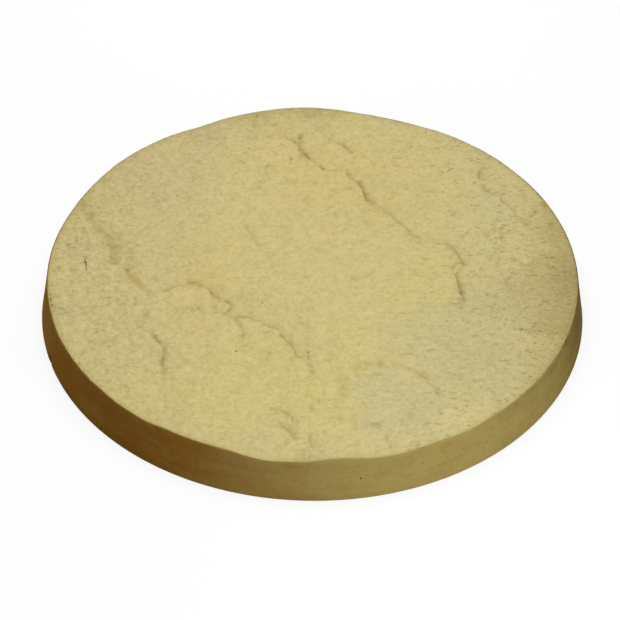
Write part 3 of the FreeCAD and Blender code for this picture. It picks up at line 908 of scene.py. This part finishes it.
castStone = {
    "buff": fromSrgb(206, 191, 132),
    "lightBuff": fromSrgb(210, 193, 132),
    "greyWash": fromSrgb(198, 187, 139),
    "tanWash": fromSrgb(197, 180, 131),
    "yellowWash": fromSrgb(205, 193, 122),
    "goldWash": fromSrgb(208, 188, 121),
    # darkest wash, at the right end partly painted shade
    "darkWash": fromSrgb(164, 149, 98),
    "grey": fromSrgb(184, 173, 126),
    "pale": fromSrgb(222, 208, 158),
    "ochre": fromSrgb(173, 148, 76),
    # dirt, random dark tone and the darkening along the arris, with painted shade in the spots
    "dirtAndShade": fromSrgb(146, 128, 62),
    # dark line along the clefts: painted shade and dirt
    "creviceShadeAndDirt": fromSrgb(138, 117, 52),
    # darkest colour: painted shade in the deepest pits and grooves, the crack, pinholes and chips; also the
    # darkening at the rim's top
    "deep": fromSrgb(84, 66, 30),
    "rust": fromSrgb(170, 130, 66),
    # rim is the colour of the lit side; the browns and olive below are painted shade on the sides away from
    # the front softbox
    "rim": fromSrgb(174, 162, 98),
    "shadedRimBrown": fromSrgb(156, 117, 45),
    "shadedRimOlive": fromSrgb(136, 119, 66),
    # pale line along the arris: painted highlight and wear
    "arrisWearAndHighlight": fromSrgb(190, 161, 112),
    "underside": fromSrgb(186, 170, 122),
    # Fine crack and sharp pits of the face, painted dark with shade and dirt: x, y, half sizes along X and
    # Y, strength
    "faceMarks": (
        (-0.1906, 0.0222, 0.0008, 0.0013, 0.6), (-0.1881, 0.0219, 0.0007, 0.0013, 0.6),
        (-0.1892, 0.0184, 0.0008, 0.0034, 0.6), (-0.1885, 0.0142, 0.0011, 0.0036, 0.7),
        (-0.1877, 0.0102, 0.0008, 0.0034, 0.6), (-0.187, 0.0068, 0.0007, 0.002, 0.4),
        (-0.0614, -0.0908, 0.0009, 0.0009, 0.7), (-0.0413, -0.0321, 0.0007, 0.0009, 0.6),
        (-0.02, 0.1518, 0.0008, 0.001, 0.7), (-0.05, 0.208, 0.0009, 0.0012, 0.6),
        (0.1716, -0.06, 0.0011, 0.001, 0.6), (-0.1533, 0.0076, 0.0009, 0.002, 0.4),
        (-0.003, -0.09, 0.0013, 0.0014, 0.4), (-0.0026, -0.0955, 0.0009, 0.0034, 0.2),
        (-0.1602, -0.0311, 0.0009, 0.003, 0.1), (-0.1559, -0.0358, 0.0034, 0.001, 0.1),
        (-0.1525, -0.03, 0.0009, 0.0026, 0.1), (-0.1455, -0.0281, 0.0009, 0.0028, 0.15),
        (-0.1465, -0.0352, 0.0022, 0.0014, 0.1), (-0.1673, -0.0279, 0.0024, 0.0009, 0.2),
        (-0.1743, -0.0184, 0.0015, 0.001, 0.2), (-0.1812, -0.0049, 0.0011, 0.0012, 0.3),
        (-0.2153, -0.0303, 0.001, 0.0032, 0.4), (-0.2141, -0.0376, 0.001, 0.0018, 0.4),
        (-0.1268, -0.0745, 0.0022, 0.001, 0.3), (-0.2044, 0.0382, 0.001, 0.003, 0.2),
    ),
    "rimLitSide": (299, 0.45, 1.0),            # painted light: azimuth at which the rim is palest, facing the front softbox, and where that sets in
    "rimEnds": (-0.04, 0.16),                 # X at which its painted shade turns from brown to olive
    "rimTop": (0.016, 0.036, 0.07),           # heights between which the rim darkens, and how much
    "wornAndLitEnds": (-0.10, 0.02),                # X at which the rubbed arris, painted highlight and wear, dies out
    "rimPatch": (299.5, 0.029, 0.011, 0.45),  # rust: azimuth, height, radius, strength
    # Pinholes of the rim, painted dark as the shade in each hole: azimuth, height, radius, strength
    "rimHoles": (
        (280.4, 0.0203, 0.001, 0.9), (274.9, 0.0288, 0.0007, 0.4), (293.9, 0.0228, 0.0008, 0.5),
        (297.6, 0.0148, 0.0007, 0.4), (299.4, 0.031, 0.0006, 0.4), (303.4, 0.0228, 0.0008, 0.6),
        (309.5, 0.017, 0.0008, 0.5), (308.1, 0.0095, 0.0006, 0.5), (322, 0.025, 0.0006, 0.4),
        (236, 0.02, 0.0006, 0.4), (18, 0.024, 0.0008, 0.6), (52, 0.013, 0.0007, 0.5),
        (88, 0.027, 0.0009, 0.7), (121, 0.018, 0.0007, 0.5), (149, 0.024, 0.0008, 0.6),
        (172, 0.011, 0.0006, 0.4),
    ),
    # Noises: size, detail, roughness, squash along X, Y and Z, shift
    "blotches": (0.020, 3.0, 0.5, (1, 1, 1), 1.7),
    "mottle": (0.0095, 2.0, 0.5, (1, 1, 1), 5.3),
    "speckle": (0.0044, 2.0, 0.6, (1, 1, 1), 2.9),
    "grit": (0.0022, 2.0, 0.6, (0.8, 1, 1), 4.1),
    "dashes": (0.0030, 2.0, 0.6, (0.5, 1, 1), 6.7),
    "cloud": (0.040, 3.0, 0.5, (1, 1, 1), 8.1),
    "courses": (0.022, 2.0, 0.5, (0.4, 0.4, 3), 10.1),
    "underPatches": (0.018, 4.0, 0.6, (1, 1, 1), 9.3),
    # Shares: everywhere, where the face is rugged, at its right end, whose darkening is partly painted
    # shade
    "paled": (1.10, 0.30, -0.60),
    "darkened": (0.60, 0.23, 0.0),
    "dashed": (0.10, 0.15, 0.32),
    "gritted": (0.05, 0.17, -0.12),
    "rightEnd": (0.0, 0.16),
    # Levels of a noise between which a mask sets in
    "lightFrom": (0.46, 0.66),
    "scarFrom": (0.30, 0.60),
    "stainFrom": (0.20, 0.55),
    "dashFrom": (0.33, 0.41),
    "gritFrom": (0.28, 0.40),
    "rustFrom": (0.35, 0.65),
    "rimDirtFrom": (0.25, 0.50),
    "underFrom": (0.30, 0.60),
    "deepFrom": (0.9, 2.4),
    "markEdge": (0.5, 1.1),   # of a mark's half size
    "holeEdge": (0.35, 1.0),  # of a hole's radius
    "patchEdge": (0.3, 1.0),
    # How much each mask or noise adds
    "washUneven": (0.7, 0.5),         # even, mottled
    "toGrey": (0.40, 0.08),           # scars, rugged places
    "toneShares": (0.70, 1.2, 0.85),  # mottle, speckle, grit
    # painted highlight and wear on the high side of each cleft
    "lipHighlightAndWear": 0.7,
    "toOchre": (0.54, 0.16),  # patchy, even
    # dirt and painted shade in the spots
    "spotShadeAndDirt": 0.55,
    # painted shade and dirt in the grooves
    "grooveShadeAndDirt": 0.40,
    "toDeep": (0.6, 0.4),                   # grooves beside the spots, both together
    "rimToneShares": (0.9, 0.8, 0.3, 0.6),  # cloud, courses, mottle, speckle
    "rimDirt": 0.12,
    # painted highlight and wear of the arris
    "rubbedAndLit": 0.5,
    # painted shade inside the chips
    "chipShadeDark": 0.9,
    # Surface
    "sheen": 0.05,
    "roughness": (0.95, 0.85),  # face, rim
    "grainHeight": 0.00120,
    "faceBump": (0.80, 0.50, 0.5, 0.3),  # speckle, grit, dashes of the rugged ends, spots
    "rimBump": (0.06, 0.10, 0.8),        # grit, cloud, holes
}


def castStoneFinish():
    finish, tree = newFinish("cast_stone")
    mix = castStone
    place = tree.node("ShaderNodeTexCoord", {}, {}, "Object")

    def attribute(name):
        return tree.node("ShaderNodeAttribute", {"attribute_name": name}, {}, "Fac")

    groove, scar, lip, spots, stain = map(attribute, ("groove", "scar", "lip", "spots", "stain"))
    mould, wornAndLit, edgeShade = map(attribute, ("mould", "wornAndLit", "edgeShade"))
    paintedChipShade, rugged, under = map(attribute, ("paintedChipShade", "rugged", "under"))
    blotches, mottle, speckle, grit, dashes, cloud, courses = (
        place.noise(*mix[name])
        for name in ("blotches", "mottle", "speckle", "grit", "dashes", "cloud", "courses")
    )
    along = place.toward(1, 0, 0)
    right = along.rise(*mix["rightEnd"])
    palePull, darkPull, dashPull, gritPull = (
        mix[name][0] + mix[name][1] * rugged + mix[name][2] * right
        for name in ("paled", "darkened", "dashed", "gritted")
    )

    # Face: buff, with washes of other colours, greyer behind the clefts and at the two rough ends
    colour = blotches.rise(*mix["lightFrom"]).over(mix["buff"], mix["lightBuff"])
    even, mottled = mix["washUneven"]
    for wash in washes:
        colour = (attribute(wash) * (even + mottled * mottle)).over(colour, mix[wash])
    scarGrey, ruggedGrey = mix["toGrey"]
    greyed = (scar * scarGrey + rugged * ruggedGrey) * blotches.rise(*mix["scarFrom"])
    colour = greyed.over(colour, mix["grey"])
    mottleShare, speckleShare, gritShare = mix["toneShares"]
    tone = (mottle - 0.5) * mottleShare + (speckle - 0.5) * speckleShare + (grit - 0.5) * gritShare
    # tone, and the lip's painted highlight and wear
    colour = (tone * palePull + lip * mix["lipHighlightAndWear"]).over(colour, mix["pale"])
    patchy, even = mix["toOchre"]
    colour = (stain * blotches.rise(*mix["stainFrom"]) * patchy + stain * even).over(colour, mix["ochre"])
    # darker tone, dashes and grit, the spots' dirt and painted shade, and the darkening along the arris
    dark = (tone * darkPull * -1).clipped() + (1 - dashes.rise(*mix["dashFrom"])) * dashPull
    dark = dark + (1 - grit.rise(*mix["gritFrom"])) * gritPull + spots * mix["spotShadeAndDirt"] + edgeShade
    colour = dark.over(colour, mix["dirtAndShade"])
    # painted shade and dirt along the foot of each cleft
    colour = (groove * mix["grooveShadeAndDirt"]).over(colour, mix["creviceShadeAndDirt"])
    # crack and pits painted dark with shade and dirt
    marks = sum(
        (1 - place.spot(x, y, halfX, halfY).rise(*mix["markEdge"])) * strength
        for x, y, halfX, halfY, strength in mix["faceMarks"]
    )
    grooveDeep, deep = mix["toDeep"]
    colour = ((spots + groove * grooveDeep).rise(*mix["deepFrom"]) * deep + marks).over(colour, mix["deep"])

    # Rim and underside: smooth, as the mould and the bench left them
    azimuth, low, high = mix["rimLitSide"]
    # painted light: the rim is pale where it faces the front softbox and takes the painted shade elsewhere
    paintedRimLight = place.toward(*(part / stone["baseRadius"] ** 2 for part in onRim(azimuth, 0))).rise(low, high)
    rimPaintedShade = along.rise(*mix["rimEnds"]).over(mix["shadedRimBrown"], mix["shadedRimOlive"])
    rimNoises = (cloud, courses, mottle, speckle)
    rimTone = sum((each - 0.5) * share for each, share in zip(rimNoises, mix["rimToneShares"]))
    rimColour = (1 - paintedRimLight + rimTone).over(mix["rim"], rimPaintedShade)
    low, high, strength = mix["rimTop"]
    rimColour = (place.toward(0, 0, 1).rise(low, high) * strength).over(rimColour, mix["deep"])
    azimuth, height, radius, strength = mix["rimPatch"]
    inner, outer = (share * radius for share in mix["patchEdge"])
    patch = 1 - place.distanceTo(*onRim(azimuth, height)).rise(inner, outer)
    rimColour = (patch * speckle.rise(*mix["rustFrom"]) * strength).over(rimColour, mix["rust"])
    rimColour = ((1 - grit.rise(*mix["rimDirtFrom"])) * mix["rimDirt"]).over(rimColour, mix["dirtAndShade"])
    underPatches = place.noise(*mix["underPatches"]).rise(*mix["underFrom"])
    rimColour = (under * underPatches).over(rimColour, mix["underside"])
    colour = mould.over(colour, rimColour)
    # painted highlight and wear along the arris, on the left
    rubbedAndLit = wornAndLit * (1 - along.rise(*mix["wornAndLitEnds"])) * mix["rubbedAndLit"]
    colour = rubbedAndLit.over(colour, mix["arrisWearAndHighlight"])
    # painted shade in the pinholes
    inner, outer = mix["holeEdge"]
    holes = sum(
        (1 - place.distanceTo(*onRim(azimuth, height)).rise(inner * radius, outer * radius)) * strength
        for azimuth, height, radius, strength in mix["rimHoles"]
    )
    # painted shade inside the pinholes and chips
    colour = (holes + paintedChipShade * mix["chipShadeDark"]).over(colour, mix["deep"])

    speckleBump, gritBump, dashBump, spotBump = mix["faceBump"]
    grainBump = speckle * speckleBump + grit * gritBump + dashes * rugged * dashBump - spots * spotBump
    gritBump, cloudBump, holeBump = mix["rimBump"]
    moulded = grit * gritBump + cloud * cloudBump - holes * holeBump
    height = grainBump * (1 - mould) + moulded * mould
    bump = tree.node("ShaderNodeBump", {}, {"Height": height, "Distance": mix["grainHeight"]})
    onFace, onMould = mix["roughness"]
    surface = {
        "Base Color": colour, "Roughness": onFace - (onFace - onMould) * mould, "Normal": bump,
        "Specular IOR Level": mix["sheen"],
    }
    shader = tree.node("ShaderNodeBsdfPrincipled", {}, surface)
    tree.node("ShaderNodeOutputMaterial", {}, {"Surface": shader})
    return finish


camera = {
    "elevation": 41.99,
    "roll": 0.69,
    "distance": 3.7395,
    "sensor": 36.0,
    "lens": 260.75,
    "shift": (-0.0037, 0.0042),
}


def placeCamera():
    elevation, roll = math.radians(camera["elevation"]), math.radians(camera["roll"])
    turn = Matrix.Rotation(math.pi / 2 - elevation, 3, "X") @ Matrix.Rotation(roll, 3, "Z")
    spot = camera["distance"] * Vector((0, -math.cos(elevation), math.sin(elevation)))
    bpy.ops.object.camera_add(location=spot, rotation=turn.to_euler())
    made = bpy.context.object
    made.data.sensor_width = camera["sensor"]
    made.data.lens = camera["lens"]
    made.data.shift_x, made.data.shift_y = camera["shift"]
    bpy.context.scene.camera = made


softboxes = {  # azimuth in degrees, distance along the floor, height, side, power
    "overheadSoftbox": (120, 0.10, 1.50, 1.20, 18.4),
    "frontSoftbox": (-61, 0.65, 0.17, 0.22, 1.15),
    "backSoftbox": (90, 0.65, 0.17, 0.22, 0.45),
}


def placeLights():
    for name, (azimuth, away, height, side, power) in softboxes.items():
        az = math.radians(azimuth)
        spot = Vector((away * math.cos(az), away * math.sin(az), height))
        turn = spot.to_track_quat("Z", "Y").to_euler()
        bpy.ops.object.light_add(type="AREA", location=spot, rotation=turn)
        lamp = bpy.context.object
        lamp.name = name
        lamp.data.shape = "SQUARE"
        lamp.data.size = side
        lamp.data.energy = power


surround = {
    "ambient": 0.22,
    "floorSide": 12.0,
    "floorLift": 0.85,  # share of the floor's white that needs no light
    "floorBounce": fromSrgb(160, 113, 58),
}


def seenDirectly(tree):  # 1 for the rays that show the background itself
    rays = ("Is Camera Ray", "Is Glossy Ray", "Is Transmission Ray")
    seen, glossy, transmission = (tree.node("ShaderNodeLightPath", {}, {}, ray) for ray in rays)
    return (seen + glossy + transmission).clipped()


def placeSurround():
    white = (1, 1, 1, 1)
    world = bpy.data.worlds.new("studio")
    bpy.context.scene.world = world
    world.use_nodes = True
    world.node_tree.nodes.clear()
    tree = Wire(world.node_tree)
    strength = seenDirectly(tree) * (1 - surround["ambient"]) + surround["ambient"]
    background = tree.node("ShaderNodeBackground", {}, {"Color": white, "Strength": strength})
    tree.node("ShaderNodeOutputWorld", {}, {"Surface": background})

    bpy.ops.object.select_all(action="DESELECT")
    bpy.ops.mesh.primitive_plane_add(size=surround["floorSide"], location=(0, 0, 0))
    floor = bpy.context.object
    floor.name = "studio_floor"
    finish, tree = newFinish("studio_floor")
    paper = tree.node("ShaderNodeBsdfDiffuse", {}, {"Color": white})
    lift = tree.node("ShaderNodeEmission", {}, {"Color": white})
    bounce = tree.node("ShaderNodeBsdfDiffuse", {}, {"Color": surround["floorBounce"]})
    shown = tree.node("ShaderNodeMixShader", {}, {0: surround["floorLift"], 1: paper, 2: lift})
    both = tree.node("ShaderNodeMixShader", {}, {0: seenDirectly(tree), 1: bounce, 2: shown})
    tree.node("ShaderNodeOutputMaterial", {}, {"Surface": both})
    floor.data.materials.append(finish)


riven = cutFan()
print("net:", len(riven.data.vertices), "vertices")
netRow = shapeStone(riven)
print("section shaped")
roughenFace(riven, netRow)
breakChips(riven)
print("face roughened, edges chipped")
thinNet(riven)
print("thinned:", len(riven.data.polygons), "faces")
paintMasks(riven)
selectOnly(riven)
bpy.ops.object.shade_smooth()
riven.data.materials.append(castStoneFinish())
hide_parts("stepping_stone")
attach(riven, "root")
print("stone finished")

placeSurround()
placeLights()
placeCamera()
bpy.context.scene.view_settings.view_transform = "Standard"
print("floor, lights and camera placed")
